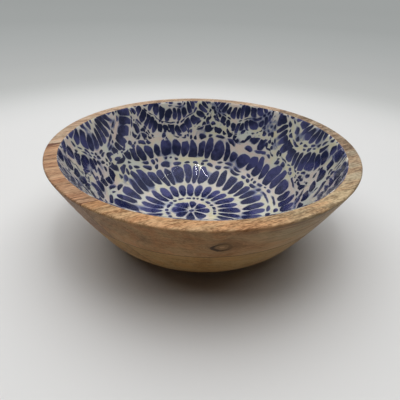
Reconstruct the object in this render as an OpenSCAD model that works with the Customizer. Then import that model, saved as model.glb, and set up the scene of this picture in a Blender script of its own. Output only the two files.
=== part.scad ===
// Serving bowl, turned from a blank of glued boards, with a printed lining under a clear coat.
// The bowl's axis is Z, its foot stands on z = 0, and its front looks along -Y.

/* [Bowl] */
// Diameter over the rim, at its widest
rim_d = 300; // [260:1:340]
// Height from the table to the top of the rim
bowl_h = 100; // [90:1:120]
// Diameter of the foot, where the wall's curve meets the table
foot_d = 112; // [90:1:134]

/* [Outer wall] */
// Angle of the wall at the rim, in degrees from upright
rim_angle = 26.6; // [20:0.1:32]
// Radius of the long, slight curve of the upper wall
flank_r = 540; // [400:10:900]
// Height at which the upper wall passes into the rounder belly
knee_h = 35.6; // [28:0.1:42]

/* [Hollow] */
// Width of the flat land on top of the rim
land_w = 11.8; // [8:0.1:18]
// Thickness of the wood under the middle of the floor
floor_t = 12; // [8:0.5:16]

/* [Edges and foot] */
// Rounding of the outer edge of the rim
rim_round = 1.6; // [0.5:0.1:3]
// Width of the ring that the bowl stands on
stand_w = 13; // [8:0.5:24]
// Depth of the recess inside that ring, hollowed so that the bowl doesn't rock
recess_depth = 2; // [1:0.1:4]

/* [Boards] */
// Thickness of the rim layer and of the wall layer; the base layer is what is left under them
board_t = 39; // [34:0.5:42]
// Direction in which the boards run, in degrees anticlockwise from X
board_turn = 27; // [0:1:90]
// Distance from the axis to the joint at the back of the rim layer
rim_joint_back = 53; // [20:1:90]
// Distance from the axis to the joint at the front of the rim layer
rim_joint_front = 68; // [20:1:90]
// Distance from the axis to the joint at the back of the wall layer
wall_joint_back = 30; // [10:1:70]
// Distance from the axis to the joint at the front of the wall layer
wall_joint_front = 76; // [20:1:80]
// Distance from the axis to the joint at the back of the base layer
base_joint_back = 58; // [10:1:70]
// Distance from the axis to the joint at the front of the base layer
base_joint_front = 30; // [10:1:70]

/* [Lining] */
// Thickness of the cream coat on the wood
ground_t = 0.4; // [0.2:0.1:1]
// Thickness of the printed sheet
sheet_t = 0.3; // [0.2:0.1:1]
// Thickness of the clear coat
coat_t = 0.8; // [0.4:0.1:2]
// Rounding of the clear coat's lip at the rim
lip_round = 0.5; // [0.2:0.1:1]

/* [Hidden] */
$fn = 360;

// Profiles are drawn in the half plane [distance from the axis, height].
// Each of their curves is an arc, and neighbouring arcs share a tangent where they meet.
rim_r = rim_d / 2;
foot_r = foot_d / 2;

// Unit vector out of a wall that leans at an angle from upright; -90 points up and 90 down
function wall_normal(a) = [cos(a), -sin(a)];

// The angle at which a wall leans where v points out of it
function angle_of(v) = asin(-v[1] / norm(v));

// Longest step along an arc, and the largest angle that a step turns by
arc_step = 3;
arc_angle = 15;

// Points along an arc round c, from one angle of the wall to another
function arc(c, r, from, to) =
    let (turn = abs(to - from), n = ceil(max(turn / arc_angle, turn * PI / 180 * r / arc_step)))
    [for (i = [0:n]) c + r * wall_normal(from + (to - from) * i / n)];

// A list without its first or last point, and a list turned round
function after_first(list) = [for (i = [1:len(list) - 1]) list[i]];
function before_last(list) = [for (i = [0:len(list) - 2]) list[i]];
function reversed(list) = [for (i = [len(list) - 1:-1:0]) list[i]];

// Rounding of the rim's outer edge, which is the widest point of the bowl
rim_edge_c = [rim_r - rim_round, bowl_h - rim_round];

// Upper wall: an arc that leaves that rounding at rim_angle
flank_c = rim_edge_c - (flank_r - rim_round) * wall_normal(rim_angle);
knee_angle = asin((flank_c[1] - knee_h) / flank_r);
knee = flank_c + flank_r * wall_normal(knee_angle);

// Belly: the one arc that goes on from the knee without a kink and ends on the foot's edge
foot_edge = [foot_r, 0];
to_foot = foot_edge - knee;
belly_r = -(to_foot * to_foot) / (2 * to_foot * wall_normal(knee_angle));
belly_c = knee - belly_r * wall_normal(knee_angle);
foot_angle = angle_of(foot_edge - belly_c);

// Hollow in the wood: the same wall, further in, and an arc that runs out flat on the floor
hollow_flank_r = norm([rim_r - land_w, bowl_h] - flank_c);
hollow_belly_r = (flank_c[1] - hollow_flank_r * sin(knee_angle) - floor_t) / (1 - sin(knee_angle));
hollow_belly_c = flank_c + (hollow_flank_r - hollow_belly_r) * wall_normal(knee_angle);

// Skins of the lining, as distances from the wood
sheet_in = ground_t;
coat_in = sheet_in + sheet_t;
lining_in = coat_in + coat_t;

// Joints between the layers
rim_layer_z = bowl_h - board_t;
wall_layer_z = rim_layer_z - board_t;

// Half the length of a cutting box, beyond the wood on every side
reach = rim_d;

// Outer wall, from the rim's land down to the foot's edge
outer_line = concat(
    arc(rim_edge_c, rim_round, -90, rim_angle),
    after_first(arc(flank_c, flank_r, rim_angle, knee_angle)),
    after_first(before_last(arc(belly_c, belly_r, knee_angle, foot_angle))),
    [foot_edge]
);

// Under the foot: the standing ring, a cove, and the roof of the recess
cove_c = [foot_r - stand_w - recess_depth, 0];
foot_line = concat(
    [[foot_r - stand_w, 0]],
    after_first(arc(cove_c, recess_depth, 0, -90)),
    [[0, recess_depth]]
);

// Wall and floor of the hollow, once a lining of that thickness is in it, from the given angle down
function hollow_line(lining, start) = concat(
    arc(flank_c, hollow_flank_r - lining, start, knee_angle),
    after_first(arc(hollow_belly_c, hollow_belly_r - lining, knee_angle, 90)),
    [[0, hollow_belly_c[1] - hollow_belly_r + lining]]
);

// Angle of that wall where it comes up to the rim
function brim_angle(lining) = asin((flank_c[1] - bowl_h) / (hollow_flank_r - lining));

// Lip of the clear coat: the rounding touches the top of the rim and the coat's inner face
lip_off = hollow_flank_r - lining_in + lip_round;
lip_angle = asin((flank_c[1] - bowl_h + lip_round) / lip_off);
lip_c = flank_c + lip_off * wall_normal(lip_angle);

// The whole turned blank, before it is told apart into its boards
module turned_wood() {
    rotate_extrude() polygon(concat(outer_line, foot_line, reversed(hollow_line(0, brim_angle(0)))));
}

// The space of one board: between two heights and two distances from the axis, measured across the boards.
// side is -1 or 1 for the left or right half of a board that the hollow cuts in two, and 0 for a whole one.
module board_space(low, high, front, back, side) {
    start = side > 0 ? 0 : -reach;
    run = side == 0 ? 2 * reach : reach;
    rotate([0, 0, board_turn]) translate([start, front, low]) cube([run, back - front, high - low]);
}

module board(low, high, front, back, side = 0) {
    intersection() {
        turned_wood();
        board_space(low, high, front, back, side);
    }
}

// A skin of the lining, between two distances from the wood
module skin(from, to) {
    rotate_extrude() polygon(concat(
        hollow_line(from, brim_angle(from)),
        reversed(hollow_line(to, brim_angle(to)))
    ));
}

module rim_board_back() {
    color([0.66, 0.53, 0.42]) board(rim_layer_z, bowl_h, rim_joint_back, reach);
}

module rim_board_left() {
    color([0.76, 0.62, 0.46]) board(rim_layer_z, bowl_h, -rim_joint_front, rim_joint_back, -1);
}

module rim_board_right() {
    color([0.76, 0.62, 0.46]) board(rim_layer_z, bowl_h, -rim_joint_front, rim_joint_back, 1);
}

module rim_board_front() {
    color([0.78, 0.64, 0.47]) board(rim_layer_z, bowl_h, -reach, -rim_joint_front);
}

module wall_board_back() {
    color([0.68, 0.54, 0.39]) board(wall_layer_z, rim_layer_z, wall_joint_back, reach);
}

module wall_board_left() {
    color([0.72, 0.56, 0.38]) board(wall_layer_z, rim_layer_z, -wall_joint_front, wall_joint_back, -1);
}

module wall_board_right() {
    color([0.72, 0.56, 0.38]) board(wall_layer_z, rim_layer_z, -wall_joint_front, wall_joint_back, 1);
}

module wall_board_front() {
    color([0.74, 0.6, 0.42]) board(wall_layer_z, rim_layer_z, -reach, -wall_joint_front);
}

module base_board_back() {
    color([0.7, 0.56, 0.4]) board(0, wall_layer_z, base_joint_back, reach);
}

module base_board_middle() {
    color([0.74, 0.58, 0.4]) board(0, wall_layer_z, -base_joint_front, base_joint_back);
}

module base_board_front() {
    color([0.71, 0.57, 0.42]) board(0, wall_layer_z, -reach, -base_joint_front);
}

module cream_ground() {
    color([0.84, 0.79, 0.66]) skin(0, sheet_in);
}

module printed_sheet() {
    color([0.2, 0.21, 0.38]) skin(sheet_in, coat_in);
}

module clear_coat() {
    color([0.9, 0.92, 0.94, 0.3]) rotate_extrude() polygon(concat(
        hollow_line(coat_in, brim_angle(coat_in)),
        reversed(hollow_line(lining_in, lip_angle)),
        reversed(before_last(arc(lip_c, lip_round, -90, lip_angle - 180)))
    ));
}

rim_board_back();
rim_board_left();
rim_board_right();
rim_board_front();
wall_board_back();
wall_board_left();
wall_board_right();
wall_board_front();
base_board_back();
base_board_middle();
base_board_front();
cream_ground();
printed_sheet();
clear_coat();
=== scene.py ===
import math

import bpy
import numpy as np
from mathutils import Matrix, Vector


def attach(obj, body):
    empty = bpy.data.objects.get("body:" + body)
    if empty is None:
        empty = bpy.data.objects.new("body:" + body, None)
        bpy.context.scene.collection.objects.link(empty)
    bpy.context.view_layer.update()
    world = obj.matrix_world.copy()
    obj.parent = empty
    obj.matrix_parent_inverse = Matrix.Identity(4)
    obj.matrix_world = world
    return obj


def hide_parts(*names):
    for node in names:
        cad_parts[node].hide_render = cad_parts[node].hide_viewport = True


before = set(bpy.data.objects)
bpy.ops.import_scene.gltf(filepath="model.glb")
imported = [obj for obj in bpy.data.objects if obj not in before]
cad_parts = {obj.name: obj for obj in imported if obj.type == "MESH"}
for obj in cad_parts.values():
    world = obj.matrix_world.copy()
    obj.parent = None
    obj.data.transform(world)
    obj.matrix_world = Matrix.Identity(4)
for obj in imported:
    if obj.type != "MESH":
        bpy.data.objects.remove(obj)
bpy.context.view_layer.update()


# Base of the bowl: three boards glued edge to edge, the lowest layer of the blank.
# Oiled hardwood, turned on the lathe, so its growth rings and fibres run on through the curve.

class Wire:
    """One output of a shader node. Arithmetic on it adds Math nodes, and make() adds any other node."""

    def __init__(self, socket):
        self.socket = socket

    def make(self, kind, settings, sockets, output=0):
        """Adds a node: its type, its settings, which come first, and the values or wires of its sockets."""
        tree = self.socket.id_data
        node = tree.nodes.new("ShaderNode" + kind)
        for name, value in settings.items():
            if name == "stops":
                ramp = node.color_ramp
                while len(ramp.elements) < len(value):
                    ramp.elements.new(1.0)
                for element, (position, colour) in zip(ramp.elements, value):
                    element.position = position
                    element.color = (*colour, 1.0)
            else:
                setattr(node, name, value)
        for name, value in sockets.items():
            if isinstance(value, Wire):
                tree.links.new(value.socket, node.inputs[name])
            else:
                node.inputs[name].default_value = value
        return Wire(node.outputs[output])

    def math(self, operation, *others):
        return self.make("Math", {"operation": operation}, dict(enumerate((self, *others))))

    def flipped(self, operation, other):
        return self.make("Math", {"operation": operation}, {0: other, 1: self})

    def __add__(self, other):
        return self.math("ADD", other)

    __radd__ = __add__

    def __sub__(self, other):
        return self.math("SUBTRACT", other)

    def __rsub__(self, other):
        return self.flipped("SUBTRACT", other)

    def __mul__(self, other):
        return self.math("MULTIPLY", other)

    __rmul__ = __mul__

    def __truediv__(self, other):
        return self.math("DIVIDE", other)

    def __rtruediv__(self, other):
        return self.flipped("DIVIDE", other)

    def __pow__(self, other):
        return self.math("POWER", other)

    def __rpow__(self, other):
        return self.flipped("POWER", other)

    def __gt__(self, other):
        return self.math("GREATER_THAN", other)

    def __lt__(self, other):
        return self.math("LESS_THAN", other)

    def __abs__(self):
        return self.math("ABSOLUTE")

    def rise(self, start, end):
        """0 up to start, 1 from end on, and a soft step between; start may be the higher one."""
        return self.make("MapRange", {"interpolation_type": "SMOOTHSTEP"},
                         {"Value": self, "From Min": start, "From Max": end})

    def noise(self, detail=2.0, roughness=0.5, output=0):
        """Smooth noise in 0 to 1 at these coordinates, one feature to each unit."""
        values = {"Vector": self, "Scale": 1.0, "Detail": detail, "Roughness": roughness}
        return self.make("TexNoise", {}, values, output)

    def blend(self, first, second):
        """The first colour where this wire is 0, and the second where it is 1."""
        return self.make("Mix", {"data_type": "RGBA"}, {0: self, 6: first, 7: second}, 2)

    def parts(self):
        """The three numbers of a vector or colour."""
        split = self.make("SeparateXYZ", {}, {0: self}).socket.node
        return [Wire(out) for out in split.outputs]


def vector(x, y, z):
    """Three wires or numbers as one vector. At least one of them is a wire."""
    first = next(w for w in (x, y, z) if isinstance(w, Wire))
    return first.make("CombineXYZ", {}, {0: x, 1: y, 2: z})


def new_finish(name, **uniform):
    """A material, its Principled shader with the values that are the same all over, and Object coordinates."""
    material = bpy.data.materials.new(name)
    material.use_nodes = True
    shader = material.node_tree.nodes["Principled BSDF"]
    for socket, value in uniform.items():
        shader.inputs[socket.replace("_", " ")].default_value = value
    place = Wire(material.node_tree.nodes.new("ShaderNodeTexCoord").outputs["Object"])
    return material, shader, place


def plug(shader, **wires):
    """Links wires to the shader's sockets by name."""
    for socket, wire in wires.items():
        shader.id_data.links.new(wire.socket, shader.inputs[socket.replace("_", " ")])


MM = 0.001
# Direction in which the boards run, anticlockwise from X
BOARD_TURN = math.radians(27)


def board_span(node):
    """The least and the greatest reach of a node, in mm: across the boards and up."""
    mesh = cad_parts[node].data
    places = np.empty(3 * len(mesh.vertices), np.float32)
    mesh.vertices.foreach_get("co", places)
    x, y, up = places.reshape(-1, 3).T / MM
    across = y * math.cos(BOARD_TURN) - x * math.sin(BOARD_TURN)
    return (float(across.min()), float(up.min())), (float(across.max()), float(up.max()))


# Each layer's front and back joint, across the boards, and the height of its top
(BASE_FRONT, _), (BASE_BACK, BASE_TOP) = board_span("base_board_middle")
(WALL_FRONT, _), (WALL_BACK, WALL_TOP) = board_span("wall_board_left")
(RIM_FRONT, _), (RIM_BACK, BOWL_H) = board_span("rim_board_left")


def drawn_out(fibres, length, width):
    """Coordinates for noise with features of that length along the fibres and width across them, in mm."""
    seeded, across, up = fibres
    return vector(seeded / length, across / width, up / width)


def growth_rings(fibres, cut, heart, spacing):
    """Growth rings are cylinders about a wandering heart. Gives how far a point lies in a ring's dark late
    wood, which comes on slowly and ends fast, times a random number of that ring, and the drift that bends
    the rings."""
    _, across, up = fibres
    wander = drawn_out(fibres, 110, 45).noise(2.0)
    drift = drawn_out(fibres, 26, 9).noise(2.0)
    reach = ((across - heart[0]) ** 2 + (up - heart[1]) ** 2) ** 0.5 + wander * 16 + drift * 3.2
    turns = reach / spacing
    year = turns.math("FRACT")
    late = year.rise(0.35, 0.95) * year.rise(1.0, 0.93)
    whole = turns.math("FLOOR")
    age = whole.make("TexWhiteNoise", {"noise_dimensions": "1D"}, {"W": whole + cut})
    return late * age, drift


def toned(tone, wood):
    """The colour of a wood at a tone of 0 to 1, from its dark over its middle to its light one."""
    light, middle, dark = wood[:3]
    return tone.make("ValToRGB", {"stops": [(0.05, dark), (0.48, middle), (0.92, light)]}, {0: tone})


def about_knot(along, across, up, knot):
    """Where a point lies about a knot: its side and rise from the middle, in half widths and half heights, how
    near it is, which is 1 on the ragged edge of an egg that is narrower at the left, and whether it is on the
    bowl's outer face, as 0 or 1."""
    (middle_along, middle_up), (half_wide, half_high) = knot
    side = (along - middle_along) / half_wide
    rise = (up - middle_up) / half_high
    narrower = 1 + side.rise(0.2, -1.1) * 0.7
    ragged = vector(along / 5, across / 9, up / 5).noise(1.0)
    near = (side ** 2 + (rise * narrower) ** 2) ** 0.5 + (ragged - 0.5) * 0.5
    outer_face = across.rise(-60, -90)
    return side, rise, near, outer_face


BARK = (0.035, 0.018, 0.010, 1)
# Height of the torn fibres, and how far to the right of the knot's middle they have theirs
TORN_UP, TORN_RIGHT = 95.6, 6


def draw_knot(colour, wood, drift, place, along, height, knot):
    """Draws a knot over a board's colour: a halo of dark rings, a pale filling with rings of its own, a lid of
    bark at the lower left, and above it fibres that are torn a little."""
    light, _, dark = wood[:3]
    side, rise, near, outer_face = place
    rings = (near * 3.1 + drift * 1.2).math("FRACT").rise(0.25, 0.9)
    inside = near.rise(1.0, 0.86) * outer_face
    lower_left = (side * -0.75 - rise * 0.5).rise(-1.1, 0.5)
    lid = near.rise(0.62, 0.84) * near.rise(1.24, 1.02) * lower_left * outer_face
    halo = near.rise(2.9, 1.1) * (0.35 + rings * 0.65) * outer_face
    colour = (halo * 0.55).blend(colour, (*dark, 1))
    filling = near.rise(0.75, 0.1).blend((*dark, 1), (*light, 1))
    colour = (inside * 0.8).blend(colour, (rings * 0.6).blend(filling, (*dark, 1)))
    colour = (lid * 0.93).blend(colour, BARK)
    torn = vector(along / 3.2, 0.0, height / 1.1).noise(1.0).rise(0.52, 0.62)
    torn = torn * abs(height - TORN_UP).rise(1.9, 0.9)
    torn = torn * abs(along - knot[0][0] - TORN_RIGHT).rise(27, 12) * outer_face
    return (torn * 0.6).blend(colour, (*dark, 1))


# Half the width of a glue line
GLUE_HALF = 0.55
# Where a joint at the left of the rim starts to open and where it is widest, along the boards and up
OPEN_ALONG, OPEN_UP = (-118, -141), (70, 99)
GLUE_SHADOW, OPEN_SHADOW = (0.060, 0.026, 0.014, 1), (0.130, 0.047, 0.028, 1)


def draw_joints(colour, along, across, height, joints):
    """Draws a dark line along each joint, wider where it has opened, by twice the length given with it."""
    opening = along.rise(*OPEN_ALONG) * height.rise(*OPEN_UP)
    seam = 0.0
    for axis, where, opened in joints:
        gap = abs((across if axis == "across" else height) - where) - opening * opened
        seam = seam + gap.rise(GLUE_HALF, GLUE_HALF * 0.35)
    shadow = opening.blend(GLUE_SHADOW, OPEN_SHADOW)
    return (seam.math("MINIMUM", 1.0) * 0.9).blend(colour, shadow)


# Between which heights the rubbed wall passes into the open land of the rim, and into its coarse specks
LAND, SPECKLED = (BOWL_H - 1.2, BOWL_H - 0.2), (BOWL_H - 1.0, BOWL_H - 0.1)
# How strongly flecks and pores show on that land and on the wall
LAND_GRAIN, WALL_GRAIN = 1.6, 0.8
# Where the near left of the rim is sanded smoother, along the boards and across them
SANDED_ALONG, SANDED_ACROSS = (-60, -110), (-90, -60)
# Between which heights a board with a knot grows paler towards the bottom: painted light that lifts the shade
# on the wall, which faces down there
PAINTED_LIFT_HEIGHTS = (84, 66)


def wood_finish(name, woods, cut, heart, spacing, joints, knot=None):
    """Turned wood in the board's own frame, in mm: along its fibres, across it and up. Its tone is a sum of
    broad clouds, flames, streaks and flecks, which are noise drawn out along the board, of growth rings, and
    of pores, short dark dashes that show as dots on end grain. The land of the rim has coarse specks too.
    The woods are that of the board's left end, and then what follows on the right: where each starts and is
    full. Warm streaks tint them. A knot pushes the rings aside, and a board with a knot is painted paler low
    down, as painted light."""
    material, shader, place = new_finish(name, Specular_IOR_Level=0.3)
    board = place.make("Mapping", {"vector_type": "POINT"},
                       {"Vector": place, "Rotation": (0, 0, -BOARD_TURN), "Scale": (1 / MM,) * 3})
    along, across, height = board.parts()
    up = height
    if knot:
        knot_place = about_knot(along, across, height, knot)
        _, rise, near, outer_face = knot_place
        up = up + near.rise(3.4, 0.4) * (rise.rise(-1.4, 1.4) - 0.5) * -20 * outer_face
    fibres = (along + cut, across, up)
    late_wood, drift = growth_rings(fibres, cut, heart, spacing)
    broad = drawn_out(fibres, 90, 16).noise(3.0)
    flame = vector(fibres[0] / 15, across / 34, up / 26).noise(2.0, 0.4)
    streak = drawn_out(fibres, 60, 2.6).noise(3.0, 0.66)
    fleck = drawn_out(fibres, 9, 1.0).noise(2.0, 0.7)
    pore = drawn_out(fibres, 7.0, 0.8).noise(1.0).rise(0.60, 0.70)
    speck = drawn_out(fibres, 3.2, 1.5).noise(1.5, 0.7)
    sanded = along.rise(*SANDED_ALONG) * across.rise(*SANDED_ACROSS)
    coarse = height.rise(*LAND) * (LAND_GRAIN - WALL_GRAIN) + WALL_GRAIN
    tone = 0.5 + (broad - 0.5) * 0.8 + (flame - 0.5) * 0.55
    tone = tone + (streak - 0.5) * (0.2 + 0.85 * coarse) + (fleck - 0.5) * 1.3 * coarse
    tone = tone - late_wood * (0.12 + 0.1 * coarse) - (pore - 0.12) * 0.28 * coarse
    tone = tone + (speck - 0.5) * height.rise(*SPECKLED) * (1.8 - sanded * 1.3)
    # Painted light: a board with a knot is paler low down, to lift the shade on the downward-facing wall
    if knot:
        tone = tone + height.rise(*PAINTED_LIFT_HEIGHTS) * 0.26
    colour = toned(tone, woods[0])
    for start, end, wood in woods[1:]:
        colour = (along + (broad - 0.5) * 60).rise(start, end).blend(colour, toned(tone, wood))
    warmth = drawn_out(fibres, 48, 10).noise(3.0, 0.6).rise(0.40, 0.64)
    warm = (*woods[0][3], 1)
    multiplied = {"data_type": "RGBA", "blend_type": "MULTIPLY"}
    tinted = colour.make("Mix", multiplied, {0: 1.0, 6: colour, 7: warm}, 2)
    colour = (warmth * 0.9).blend(colour, tinted)
    if knot:
        colour = draw_knot(colour, woods[0], drift, knot_place, along, height, knot)
    colour = draw_joints(colour, along, across, height, joints)
    relief = streak * 0.4 + fleck * 0.2 - pore * 0.4
    bump = relief.make("Bump", {}, {"Height": relief, "Distance": 0.06 * MM, "Strength": 0.4})
    plug(shader, Base_Color=colour, Roughness=0.48 + pore * 0.2 + (fleck - 0.5) * 0.2, Normal=bump)
    return material


# Light, middle and dark tone of each wood, and for those at a board's left end the tint of its warm streaks
HONEY = [(0.62, 0.405, 0.222), (0.430, 0.268, 0.136), (0.205, 0.113, 0.050), (1.04, 0.85, 0.75)]
PALE = [(0.61, 0.475, 0.290), (0.455, 0.345, 0.203), (0.215, 0.152, 0.084)]
# Dusk, at the right end of the front rim board, is darker and greyer: partly the wood's own tone, partly
# painted shade on the right of the rim
DUSK_AND_RIGHT_SHADE = [(0.48, 0.410, 0.290), (0.330, 0.274, 0.190), (0.164, 0.122, 0.080)]
ROSE = [(0.62, 0.480, 0.360), (0.440, 0.325, 0.222), (0.210, 0.135, 0.082), (1.0, 0.87, 0.80)]
RUSSET = [(0.56, 0.358, 0.218), (0.352, 0.210, 0.121), (0.160, 0.084, 0.044), (1.0, 0.86, 0.80)]
# Grey, at the right of the middle rim boards, is darker and greyer: partly the wood's own tone, partly painted
# shade on the right of the rim
GREY_AND_RIGHT_SHADE = [(0.46, 0.355, 0.245), (0.240, 0.178, 0.115), (0.105, 0.070, 0.042)]
# Umber, at the right end of the wall and base boards, is paler and yellower than brown: partly the wood's own
# tone, partly painted light from the right
UMBER_AND_RIGHT_LIGHT = [(0.60, 0.445, 0.260), (0.500, 0.365, 0.195), (0.255, 0.162, 0.077)]
BROWN = [(0.61, 0.420, 0.205), (0.500, 0.325, 0.146), (0.265, 0.150, 0.058), (1.0, 0.88, 0.77)]
BROWN_TO_UMBER_AND_RIGHT_LIGHT = [BROWN, (-40, 60, UMBER_AND_RIGHT_LIGHT)]


def dress(node, material):
    """Gives a node that is shown as it was turned its finish."""
    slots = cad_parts[node].data.materials
    slots.clear()
    slots.append(material)


dress("base_board_back", wood_finish(
    "base_back_wood", BROWN_TO_UMBER_AND_RIGHT_LIGHT, cut=310, heart=(96, -30), spacing=4.1,
    joints=[("up", BASE_TOP, 0), ("across", BASE_BACK, 0)]))
dress("base_board_middle", wood_finish(
    "base_middle_wood", BROWN_TO_UMBER_AND_RIGHT_LIGHT, cut=870, heart=(20, 60), spacing=3.6,
    joints=[("up", BASE_TOP, 0), ("across", BASE_BACK, 0), ("across", BASE_FRONT, 0)]))
dress("base_board_front", wood_finish(
    "base_front_wood", [HONEY, (-40, 60, UMBER_AND_RIGHT_LIGHT)], cut=1420, heart=(-70, -45), spacing=4.4,
    joints=[("up", BASE_TOP, 0), ("across", BASE_FRONT, 0)]))


# Wall of the bowl: the middle layer, of two boards on the outside and one that the hollow
# cuts into a left and a right half, which share one grain. Oiled hardwood, turned with the rest.

wall_middle = wood_finish(
    "wall_middle_wood", BROWN_TO_UMBER_AND_RIGHT_LIGHT, cut=2050, heart=(10, 120), spacing=4.0,
    joints=[("up", BASE_TOP, 0), ("up", WALL_TOP, 0), ("across", WALL_BACK, 0), ("across", WALL_FRONT, 0)])
dress("wall_board_left", wall_middle)
dress("wall_board_right", wall_middle)
dress("wall_board_back", wood_finish(
    "wall_back_wood", BROWN_TO_UMBER_AND_RIGHT_LIGHT, cut=2790, heart=(75, -20), spacing=3.8,
    joints=[("up", BASE_TOP, 0), ("up", WALL_TOP, 0), ("across", WALL_BACK, 0)]))
dress("wall_board_front", wood_finish(
    "wall_front_wood", BROWN_TO_UMBER_AND_RIGHT_LIGHT, cut=3310, heart=(-100, 5), spacing=4.2,
    joints=[("up", BASE_TOP, 0), ("up", WALL_TOP, 0), ("across", WALL_FRONT, 0)]))


# Rim of the bowl: the top layer, again of three boards of oiled hardwood, with the flat land of the rim
# turned on it. The joint at the left has opened a little, and the front board holds a small knot.

rim_middle = wood_finish(
    "rim_middle_wood", [RUSSET, (30, 120, GREY_AND_RIGHT_SHADE)], cut=4170, heart=(-5, 160), spacing=3.9,
    joints=[("up", WALL_TOP, 0), ("across", RIM_BACK, 4.6), ("across", RIM_FRONT, 0)])
dress("rim_board_left", rim_middle)
dress("rim_board_right", rim_middle)
dress("rim_board_back", wood_finish(
    "rim_back_wood", [ROSE], cut=4890, heart=(90, 130), spacing=3.4,
    joints=[("up", WALL_TOP, 0), ("across", RIM_BACK, 0.9)]))
# The knot's middle on the bowl, and half its width and height
KNOT_X, KNOT_Y, KNOT_Z = 16.1, -138.3, 77.6
KNOT_HALF = (8.2, 6.2)
knot_along = KNOT_X * math.cos(BOARD_TURN) + KNOT_Y * math.sin(BOARD_TURN)
dress("rim_board_front", wood_finish(
    "rim_front_wood", [HONEY, (-50, 10, PALE), (40, 120, DUSK_AND_RIGHT_SHADE)], cut=5530, heart=(-118, 55), spacing=4.3,
    joints=[("up", WALL_TOP, 0), ("across", RIM_FRONT, 0)],
    knot=((knot_along, KNOT_Z), KNOT_HALF)))


# Cream ground: a thin coat of size, brushed on the turned hollow to carry the printed sheet.
# It shows only as a hair line on top of the rim, where its dark tan is painted shade on the lining's edge.

def scaled(place, factor):
    """A vector times a number."""
    return place.make("VectorMath", {"operation": "SCALE"}, {0: place, "Scale": factor})


ground_finish, ground_shader, ground_place = new_finish("cream_size", Roughness=0.6)
# Painted shade: the ground is a dark tan, so its edge at the rim looks like the lining's shaded edge
brushed = scaled(ground_place, 90.0).noise(3.0).rise(0.2, 0.8)
plug(ground_shader, Base_Color=brushed.blend((0.33, 0.21, 0.11, 1), (0.45, 0.31, 0.17, 1)))
dress("cream_ground", ground_finish)


# Printed sheet: thin paper with rings of dyed petals, as tied cloth takes them, laid in the hollow
# in one piece and pressed out to the rim.

# Sizes of the wall, the hollow and the lining, as the part's source has them
RIM_R, RIM_ROUND, LAND_W, FLOOR_T = 150.0, 1.6, 11.8, 12.0
RIM_ANGLE, FLANK_R, KNEE_H = math.radians(26.6), 540.0, 35.6
GROUND_T, SHEET_T = 0.4, 0.3
SHEET_IN = GROUND_T + SHEET_T


def wall_normal(angle):
    """The unit vector out of a wall that leans at an angle from upright, as (radius, height)."""
    return np.stack([np.cos(angle), -np.sin(angle)], axis=-1)


rim_edge_c = np.array([RIM_R - RIM_ROUND, BOWL_H - RIM_ROUND])
flank_c = rim_edge_c - (FLANK_R - RIM_ROUND) * wall_normal(RIM_ANGLE)
knee_angle = math.asin((flank_c[1] - KNEE_H) / FLANK_R)
hollow_flank_r = float(np.hypot(*(np.array([RIM_R - LAND_W, BOWL_H]) - flank_c)))
hollow_belly_r = (flank_c[1] - hollow_flank_r * math.sin(knee_angle) - FLOOR_T) / (1 - math.sin(knee_angle))
hollow_belly_c = flank_c + (hollow_flank_r - hollow_belly_r) * wall_normal(knee_angle)


def hollow_profile(inset, top=BOWL_H, flank_rows=44, belly_rows=40, floor_rows=16):
    """The hollow's wall and floor with a lining of that thickness, from the middle outwards, in mm:
    a flat floor, the belly's arc up to the knee, and the flank's arc up to a height."""
    belly_r = hollow_belly_r - inset
    flank_r = hollow_flank_r - inset
    floor = np.stack([np.linspace(0.0, hollow_belly_c[0], floor_rows),
                      np.full(floor_rows, hollow_belly_c[1] - belly_r)], axis=1)
    belly = hollow_belly_c + belly_r * wall_normal(np.linspace(math.pi / 2, knee_angle, belly_rows))
    brim_angle = math.asin((flank_c[1] - top) / flank_r)
    flank = flank_c + flank_r * wall_normal(np.linspace(knee_angle, brim_angle, flank_rows))
    return np.concatenate([floor[:-1], belly[:-1], flank])


# The least angle between two faces that shows as an edge
EDGE_ANGLE = math.radians(35)


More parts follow.
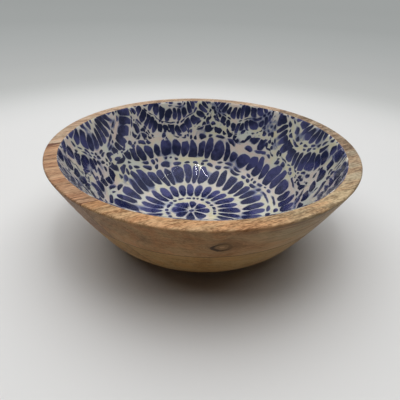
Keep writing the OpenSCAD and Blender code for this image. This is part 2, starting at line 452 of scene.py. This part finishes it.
def turned(name, profile, around=360):
    """A closed solid of revolution: profile is a list of (radius, height) in mm that starts and ends on the
    axis, with the material on its right. Each row but the poles is a ring of points at equal steps round the
    axis, and neighbouring rings are joined by quads, the poles by triangles. The attribute flat is each
    point's place on the lining when it is laid out flat: the length of the profile from the middle out to
    it, in its direction. Past its widest row, the profile takes the lengths of the face at the same radius."""
    angle = np.arange(around) * (2 * math.pi / around)
    rings = profile[1:-1]

    def ringed(radius, height):
        """One point for each row and step: a row's radius in each direction, and its height."""
        spread = np.stack([radius[:, None] * np.cos(angle), radius[:, None] * np.sin(angle),
                           np.broadcast_to(height[:, None], (len(radius), around))], axis=-1)
        return spread.reshape(-1, 3)

    points = ringed(rings[:, 0], rings[:, 1])
    points = np.concatenate([points, [[0, 0, profile[0, 1]], [0, 0, profile[-1, 1]]]])
    first, last = len(points) - 2, len(points) - 1
    index = np.arange(len(rings) * around).reshape(len(rings), around)
    ahead = np.roll(index, -1, axis=1)
    quads = np.stack([index[:-1], index[1:], ahead[1:], ahead[:-1]], axis=-1).reshape(-1, 4)
    start = np.stack([np.full(around, first), index[0], ahead[0]], axis=-1)
    end = np.stack([np.full(around, last), ahead[-1], index[-1]], axis=-1)
    mesh = bpy.data.meshes.new(name)
    mesh.from_pydata((points * MM).tolist(), [], quads.tolist() + start.tolist() + end.tolist())
    run = np.concatenate([[0.0], np.cumsum(np.hypot(*np.diff(profile, axis=0).T))])
    widest = int(np.argmax(profile[:, 0]))
    run[widest:] = np.interp(profile[widest:, 0], profile[:widest, 0], run[:widest])
    flat = np.concatenate([ringed(run[1:-1], np.zeros(len(rings))), np.zeros((2, 3))]).astype(np.float32)
    mesh.attributes.new("flat", "FLOAT_VECTOR", "POINT").data.foreach_set("vector", flat.ravel())
    mesh.polygons.foreach_set("use_smooth", np.ones(len(mesh.polygons), bool))
    mesh.set_sharp_from_angle(angle=EDGE_ANGLE)
    mesh.update()
    piece = bpy.data.objects.new(name, mesh)
    bpy.context.scene.collection.objects.link(piece)
    return piece


sheet_profile = np.concatenate([hollow_profile(SHEET_IN), hollow_profile(GROUND_T)[::-1]])
printed_sheet = turned("printed_paper_lining", sheet_profile)

# Where rings of petals are centred on the flat sheet, how far each reaches beyond its neighbours, its turn,
# and how much finer it is than the middle one
MEDALLIONS = [
    (-11, 13, 18, 0.13, 1.0),
    (-72, 232, 0, 0.52, 1.45),
    (92, 246, 0, 0.31, 1.55),
    (214, 96, 0, 0.77, 1.15),
    (-206, 78, 0, 0.07, 1.2),
    (150, -104, 0, 0.45, 1.1),
    (-128, -122, 0, 0.93, 1.15),
    (12, -196, -4, 0.66, 1.2),
]
# Rings of each: where it starts, its middle, half its depth, how many marks, share of the pitch that a mark
# fills, share of the marks that are there, and how much they differ
RINGS = [
    (0.0, 1.1, 2.0, 1, 0.9, 1.0, 0.0),
    (3.6, 12.4, 8.4, 8, 0.88, 1.0, 0.16),
    (22.2, 26.4, 2.1, 24, 0.72, 0.97, 0.35),
    (30.4, 43.6, 12.6, 28, 0.89, 1.0, 0.18),
    (57.6, 71.4, 12.8, 40, 0.91, 1.0, 0.26),
    (85.6, 88.8, 2.9, 44, 0.66, 0.88, 0.8),
    (92.6, 95.4, 2.7, 50, 0.62, 0.76, 0.9),
    (98.6, 110.0, 11.6, 54, 0.93, 1.0, 0.40),
    (122.0, 124.8, 2.8, 58, 0.70, 0.86, 0.9),
    (127.8, 138.4, 10.8, 70, 0.96, 1.0, 0.45),
    (149.2, 152.4, 3.0, 72, 0.70, 0.86, 0.9),
    (155.6, 166.2, 10.6, 84, 0.96, 1.0, 0.45),
    (176.8, 179.8, 2.8, 86, 0.70, 0.86, 0.9),
    (182.8, 194.0, 11.0, 98, 0.96, 1.0, 0.45),
]


def length_of(place):
    """A vector's length."""
    return place.make("VectorMath", {"operation": "LENGTH"}, {0: place}, 1)


def shifted(place, noise, reach):
    """A place on the sheet, moved about by a noise's colour, by up to half of reach each way."""
    centred = noise.make("VectorMath", {"operation": "SUBTRACT"}, {0: noise, 1: (0.5, 0.5, 0.5)})
    reaches = vector(reach, reach, 0.0)
    return place.make("VectorMath", {"operation": "MULTIPLY_ADD"}, {0: centred, 1: reaches, 2: place})


def nearest_medallion(place):
    """The medallion whose centre is nearest, less its reach: its centre and turn as one vector, how much finer
    it is, and how much farther away the next one is."""
    def gap_to(x, y, reach):
        return place.make("VectorMath", {"operation": "DISTANCE"}, {0: place, 1: (x, y, 0)}, 1) - reach

    x, y, reach, phase, finer = MEDALLIONS[0]
    home = (x, y, phase)
    nearest = gap_to(x, y, reach)
    following = nearest + 1000
    for x, y, reach, phase, finer_here in MEDALLIONS[1:]:
        gap = gap_to(x, y, reach)
        closer = gap < nearest
        home = closer.make("Mix", {"data_type": "VECTOR"}, {0: closer, 4: home, 5: (x, y, phase)}, 1)
        finer = closer.make("Mix", {}, {0: closer, 2: finer, 3: finer_here})
        following = following.math("MINIMUM", gap.math("MAXIMUM", nearest))
        nearest = nearest.math("MINIMUM", gap)
    return home, finer, following - nearest


def ring_at(r):
    """The ring that a distance from the centre falls in: its middle, half its depth, the number of its marks,
    the share of the pitch that a mark fills, the share of marks that are there, and how much they differ."""
    size, kind = RINGS[0][1:4], RINGS[0][4:7]
    for ring in RINGS[1:]:
        past = r > ring[0]
        size = past.make("Mix", {"data_type": "VECTOR"}, {0: past, 4: size, 5: ring[1:4]}, 1)
        kind = past.make("Mix", {"data_type": "VECTOR"}, {0: past, 4: kind, 5: ring[4:7]}, 1)
    return size.parts() + kind.parts()


def petal_print(flat):
    """The dyed pattern on the flat sheet, in mm. A place is moved by slow and by quick noise, more so far from
    the middle, and belongs to the nearest medallion. The medallion's rings are told apart by the distance r
    from its centre, and each ring is cut into cells by the angle, wider and narrower ones. A mark is a
    superellipse in its cell, its width a share of the cell's, its edge moved by noise. Where two medallions
    meet, patches of dots take the marks' place. Gives how deep a point lies in a mark, in mm, a random
    number of that mark, and how far along it the point lies."""
    wild = length_of(flat).rise(25, 130)
    moved = shifted(flat, scaled(flat, 1 / 38).noise(1.0, output=1), 5 + wild * 18)
    moved = shifted(moved, scaled(flat, 1 / 11).noise(1.0, output=1), 1.4 + wild * 2.2)
    home, finer, apart = nearest_medallion(moved)
    home_x, home_y, phase = home.parts()
    here_x, here_y, _ = moved.parts()
    off_x, off_y = here_x - home_x, here_y - home_y
    from_centre = (off_x * off_x + off_y * off_y) ** 0.5
    wobble = vector(off_x / from_centre * 1.4, off_y / from_centre * 1.4, phase * 40).noise(1.0)
    r = (from_centre + (wobble - 0.5) * from_centre.rise(8, 90) * 16) * finer
    middle, half, count, fill, kept, varied = ring_at(r)
    crowd = vector(off_x / from_centre * 2.2, off_y / from_centre * 2.2, middle * 0.37 + phase * 20).noise(1.0)
    turn = off_y.math("ARCTAN2", off_x) / (2 * math.pi) + phase
    cell = turn * count + (crowd - 0.5) * varied * 4.5
    number = cell.math("ROUND")
    sideways = (cell - number) * (2 * math.pi) * r / count
    name = vector(number.math("FLOORED_MODULO", count), middle, phase * 50)
    dice = name.make("TexWhiteNoise", {"noise_dimensions": "3D"}, {"Vector": name}, 1)
    chance, other, third = dice.parts()
    long = half * (1 + (other - 0.6) * varied)
    lengthways = r - middle - (third - 0.5) * varied * half * 0.6
    taper = (scaled(flat, 1 / 55).noise(1.0) - 0.46) * wild * 2.6
    wide = fill * math.pi * r / count * (1 + (chance - 0.5) * varied * 0.6) * (1 - taper * lengthways / long)
    full = (abs(sideways) / wide) ** 2.2 + (abs(lengthways) / long) ** 2.5
    ragged = scaled(flat, 1 / 4.2).noise(1.5)
    depth = (1 - full ** 0.43) * wide.math("MINIMUM", long) / finer + (ragged - 0.5) * (0.7 + wild * 0.5)
    patchy = scaled(flat, 1 / 27).noise(1.0)
    depth = depth.math("MINIMUM", apart * 0.5 - 0.4 - patchy.rise(0.44, 0.62) * 1.4) - (other > kept) * 20
    dotted = scaled(moved, 1 / 6.6)
    spots = dotted.make("TexVoronoi", {}, {"Vector": dotted, "Scale": 1.0, "Randomness": 0.7})
    drops = (0.46 - spots) * 6.6 + (ragged - 0.5) * 2.4
    meeting = apart.rise(14, 9) * patchy.rise(0.44, 0.50)
    return meeting.make("Mix", {}, {0: meeting, 2: depth, 3: drops}), chance, lengthways / long


YELLOW_CREAM, PINK_CREAM, COOL_CREAM = (0.58, 0.545, 0.385, 1), (0.60, 0.51, 0.445, 1), (0.55, 0.56, 0.49, 1)
WASHED_EDGE, BLED_BLUE = (0.545, 0.56, 0.53, 1), (0.065, 0.095, 0.245, 1)
DEEP_INK, THIN_INK = (0.004, 0.008, 0.050, 1), (0.050, 0.054, 0.175, 1)
sheet_finish, sheet_shader, sheet_place = new_finish("dyed_paper", Roughness=0.55, Specular_IOR_Level=0.3)
flat = sheet_place.make("Attribute", {"attribute_name": "flat"}, {}, "Vector")
depth, chance, reach_out = petal_print(flat)
clouds, stains, pools = scaled(flat, 1 / 42).noise(2.0, output=1).parts()
wet = scaled(flat, 1 / 7).noise(2.0)
cream = stains.rise(0.44, 0.60).blend(YELLOW_CREAM, PINK_CREAM)
cream = clouds.rise(0.54, 0.66).blend(cream, COOL_CREAM)
cream = (depth.rise(-2.6, -0.2) * 0.7).blend(cream, WASHED_EDGE)
# Painted light and shade: the cream is darker on the well-lit floor in the middle and paler up the walls
cream = scaled(cream, 0.93 + length_of(flat).rise(30, 110) * 0.10)
bleed = depth.rise(-3.4, -0.3) * scaled(flat, 1 / 30).noise(1.5).rise(0.55, 0.63)
cream = (bleed * 0.8).blend(cream, BLED_BLUE)
thin = 0.42 + reach_out * (0.25 + chance * 0.3) + (wet - 0.5) * 1.3 + (chance - 0.5) * 0.4
thin = thin + (pools - 0.5) * 1.2 + depth.rise(1.0, 0.0) * 0.25
ink = thin.rise(0.1, 1.0).blend(DEEP_INK, THIN_INK)
plug(sheet_shader, Base_Color=depth.rise(-0.6, 0.4).blend(cream, ink))
printed_sheet.data.materials.append(sheet_finish)
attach(printed_sheet, "root")
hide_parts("printed_sheet")


# Clear coat: poured resin over the sheet, under a millimetre thick, that ends in a small rounded lip at the
# rim. It sets hard and glossy, with slow waves in it. Its underside is sunk in the sheet that it is bonded to.

# The coat's thickness, the rounding of its lip and the steps that it is drawn in, and how deep it is sunk
COAT_T, LIP_ROUND, LIP_STEPS, BOND = 0.8, 0.5, 8, 0.1
coat_in = SHEET_IN + COAT_T
lip_off = hollow_flank_r - coat_in + LIP_ROUND
lip_angle = math.asin((flank_c[1] - BOWL_H + LIP_ROUND) / lip_off)
lip_c = flank_c + lip_off * wall_normal(lip_angle)
face_top = float(lip_c[1] + LIP_ROUND * math.sin(lip_angle))
face = hollow_profile(coat_in, face_top, belly_rows=90)
lip = lip_c + LIP_ROUND * wall_normal(np.linspace(lip_angle - math.pi, -math.pi / 2, LIP_STEPS + 1)[1:])
under = hollow_profile(SHEET_IN - BOND)[::-1]
clear_coat = turned("clear_resin_coat", np.concatenate([face, lip, under]))
# Waves to the metre, and how high they would be if the noise ran from 0 to 1 in full
WAVES, WAVE_HEIGHT = 38.0, 0.9 * MM
coat_finish, mirror, coat_place = new_finish(
    "clear_resin_gloss", Roughness=0.04, Metallic=1.0, Base_Color=(0.9, 0.92, 0.95, 1))
swell = scaled(coat_place, WAVES).noise(1.0)
wave = swell.make("Bump", {}, {"Height": swell, "Distance": WAVE_HEIGHT, "Strength": 0.5})
plug(mirror, Normal=wave)


def show_in_part(shader, share):
    """Mixes a material's shader with clear space, by a wire that is 1 where the shader shows in full."""
    tree = shader.id_data
    clear = tree.nodes.new("ShaderNodeBsdfTransparent")
    both = tree.nodes.new("ShaderNodeMixShader")
    tree.links.new(share.socket, both.inputs[0])
    tree.links.new(clear.outputs[0], both.inputs[1])
    tree.links.new(shader.outputs[0], both.inputs[2])
    tree.links.new(both.outputs[0], tree.nodes["Material Output"].inputs[0])


show_in_part(mirror, wave.make("Fresnel", {}, {"IOR": 1.5, "Normal": wave}))
clear_coat.data.materials.append(coat_finish)
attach(clear_coat, "root")
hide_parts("clear_coat")


# Stage: a plain pale table, which farther out glows by itself in painted shade that darkens into the room
# behind it, and that isn't seen from underneath, a soft light overhead with four low ones that reach the
# lining's walls, long thin bulbs that show as glints, and the camera at the photograph's angle.

HALF_TABLE = 6.0
corners = [(x * HALF_TABLE, y * HALF_TABLE, 0) for x, y in ((-1, -1), (1, -1), (1, 1), (-1, 1))]
table_mesh = bpy.data.meshes.new("table")
table_mesh.from_pydata(corners, [], [(0, 1, 2, 3)])
table = bpy.data.objects.new("table", table_mesh)
bpy.context.scene.collection.objects.link(table)


def sight(wire):
    """Two wires: 1 for what the camera sees, also through glass, and 1 for what it sees by way of a mirror."""
    path = wire.make("LightPath", {}, {}).socket.node
    camera, glossy, through = (
        Wire(path.outputs[f"Is {ray} Ray"]) for ray in ("Camera", "Glossy", "Transmission"))
    return (camera + through).math("MINIMUM", 1.0), glossy


# What the table sends back to the bowl is dimmer and warmer than what the camera sees of it
BOUNCED = (0.50, 0.45, 0.37, 1)
PALE_TABLE, PALER_TABLE = (0.74, 0.75, 0.75, 1), (0.77, 0.77, 0.765, 1)
# Distance at which the table's painted shade ends, in metres, and its glowing colours at shares of that
# distance
PAINTED_FALLOFF_REACH = 3.0
PAINTED_FALLOFF = [(0.17, (0.63, 0.64, 0.63)), (0.23, (0.50, 0.51, 0.50)), (0.30, (0.445, 0.455, 0.45)),
        (0.41, (0.40, 0.415, 0.41)), (0.59, (0.355, 0.37, 0.365)), (0.90, (0.34, 0.355, 0.35))]
table_finish, table_shader, table_place = new_finish(
    "pale_table", Roughness=0.8, Specular_IOR_Level=0.0, Emission_Strength=1.0)
direct, mirrored = sight(table_place)
mottle = scaled(table_place, 3.0).noise(2.0).blend(PALE_TABLE, PALER_TABLE)
distance = length_of(table_place)
# Painted shade and glow: from about half a metre out the table reflects no light and glows with the painted
# falloff
away = distance.rise(0.40, 0.66)
pale = (direct + mirrored).blend(BOUNCED, mottle)
share = distance / PAINTED_FALLOFF_REACH
painted_falloff = share.make("ValToRGB", {"stops": PAINTED_FALLOFF}, {0: share})
painted_glow = (away * (direct + mirrored * 0.5)).blend((0, 0, 0, 1), painted_falloff)
plug(table_shader, Base_Color=away.blend(pale, (0, 0, 0, 1)), Emission_Color=painted_glow)
underneath = table_place.make("NewGeometry", {}, {}, "Backfacing")
show_in_part(table_shader, 1 - underneath)
table.data.materials.append(table_finish)


def soft_light(name, place, size, watts):
    """A rectangular lamp at a place, turned to the bowl. It leaves no reflection of its own."""
    lamp = bpy.data.lights.new(name, "AREA")
    lamp.shape = "RECTANGLE"
    lamp.size, lamp.size_y = size
    lamp.energy = watts
    light = bpy.data.objects.new(name, lamp)
    facing = Vector(place).to_track_quat("Z", "Y").to_matrix().to_4x4()
    light.matrix_world = Matrix.Translation(place) @ facing
    light.visible_glossy = False
    bpy.context.scene.collection.objects.link(light)
    return light


OVERHEAD_PLACE, OVERHEAD_SIZE, OVERHEAD_WATTS = (-0.12, 0.25, 1.4), (2.2, 2.0), 30.8
overhead = soft_light("overhead", OVERHEAD_PLACE, OVERHEAD_SIZE, OVERHEAD_WATTS)
overhead.rotation_euler = (0, 0, 0)

# Low lamps on four sides, as a room's walls light the inside of a bowl: direction of each, and its watts
LOW_RING, LOW_HEIGHT, LOW_SIZE = 1.0, 0.72, (1.4, 0.8)
LOW_LAMPS = [(0, -1, 6.0), (1, 0, 7.4), (0, 1, 6.0), (-1, 0, 6.0)]
lining = bpy.data.collections.new("lining")
lining.objects.link(printed_sheet)
for number, (x, y, watts) in enumerate(LOW_LAMPS):
    low = soft_light(f"low_{number}", (x * LOW_RING, y * LOW_RING, LOW_HEIGHT), LOW_SIZE, watts)
    low.light_linking.receiver_collection = lining

# Long thin bulbs that show in the coat: place, lean from the Y axis in degrees, and watts. A ray that has
# met a mirror sees them no later than its second bounce, or the coat would throw bright dots on the print.
BULB_SIZE = (0.016, 0.76)
BULBS = [((0.0, -0.2, 1.5), 15, 0.8), ((0.1, -0.2, 1.5), 4, 0.9), ((0.56, 0.05, 1.5), -10, 0.18)]
for number, (place, lean, watts) in enumerate(BULBS):
    bulb = soft_light(f"bulb_{number}", place, BULB_SIZE, watts)
    bulb.rotation_euler = (0, 0, math.radians(lean))
    bulb.visible_glossy = True
    bulb.data.use_nodes = True
    lit = bulb.data.node_tree.nodes["Emission"]
    path = bulb.data.node_tree.nodes.new("ShaderNodeLightPath")
    mirrors, bounces = Wire(path.outputs["Glossy Depth"]), Wire(path.outputs["Ray Depth"])
    plug(lit, Strength=1 - mirrors.rise(0.2, 0.8) * bounces.rise(2.2, 2.8))

# The room: a plain backdrop for the camera, a dim warm fill for the wood, and for the coat's reflections a
# bright wall behind, a dark one in front and a pale ceiling
BACKDROP, FILL = (0.34, 0.355, 0.35, 1), (0.035, 0.029, 0.024, 1)
DARK_WALL, LIT_WALL, CEILING = (0.06, 0.07, 0.08, 1), (0.48, 0.48, 0.48, 1), (0.62, 0.63, 0.64, 1)
world = bpy.data.worlds.new("room")
world.use_nodes = True
sky = Wire(world.node_tree.nodes.new("ShaderNodeTexCoord").outputs["Generated"])
_, behind, above = sky.parts()
walls = (behind.rise(-0.5, 0.6) * above.rise(0.10, 0.45)).blend(DARK_WALL, LIT_WALL)
direct, mirrored = sight(sky)
room = above.rise(0.70, 0.97).blend(walls, CEILING)
room = mirrored.blend(direct.blend(FILL, BACKDROP), room)
plug(world.node_tree.nodes["Background"], Color=room)
bpy.context.scene.world = world

# Camera: where it stands, in metres, and its tilt up from straight down, its pan and its roll, in degrees
CAMERA_PLACE = (0, -0.36851, 0.25415)
TILT, PAN, ROLL = 59.18, 0.18, 1.91
camera_data = bpy.data.cameras.new("camera")
camera_data.lens = 36
camera_data.sensor_width = 36
camera = bpy.data.objects.new("camera", camera_data)
aim = (Matrix.Rotation(math.radians(TILT), 4, "X") @ Matrix.Rotation(math.radians(PAN), 4, "Y")
       @ Matrix.Rotation(math.radians(ROLL), 4, "Z"))
camera.matrix_world = Matrix.Translation(CAMERA_PLACE) @ aim
bpy.context.scene.collection.objects.link(camera)
bpy.context.scene.camera = camera
bpy.context.scene.view_settings.view_transform = "Standard"

bpy.context.view_layer.update()
